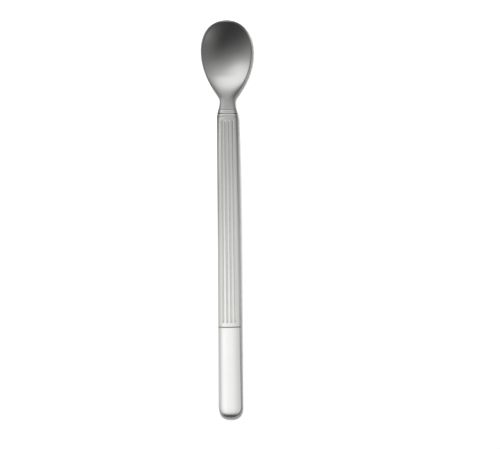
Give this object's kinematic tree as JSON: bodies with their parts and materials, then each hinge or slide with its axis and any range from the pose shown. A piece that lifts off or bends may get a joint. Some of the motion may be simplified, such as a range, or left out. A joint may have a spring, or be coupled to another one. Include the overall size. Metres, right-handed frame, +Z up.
{
  "type": "iced tea spoon",
  "caption": "Long-handled iced tea spoon with an egg-shaped bowl, beaded collar, hollow fluted handle and plain rounded end.",
  "frame": {"origin": "middle of the spoon's box, on the table that it lies on", "axes": "+Y runs from the handle's end to the bowl's tip, +X is across the spoon, +Z is up, out of the hollow of the bowl"},
  "size_m": [0.0248, 0.1899, 0.0137],
  "materials": {
    "bowl_steel": "mirror polished, with fine scratches from use",
    "collar_steel": "polished beads, darker in the crease",
    "handle_steel": "satin, brushed along the handle",
    "cement": "rough bedding cement",
    "cap_steel": "polished, with fine scratches from use"
  },
  "bodies": {
    "root": {"bowl": "bowl_steel", "collar": "collar_steel", "handle_front": "handle_steel", "handle_back": "handle_steel", "cement_core": "cement", "end_cap": "cap_steel"}
  },
  "joints": []
}
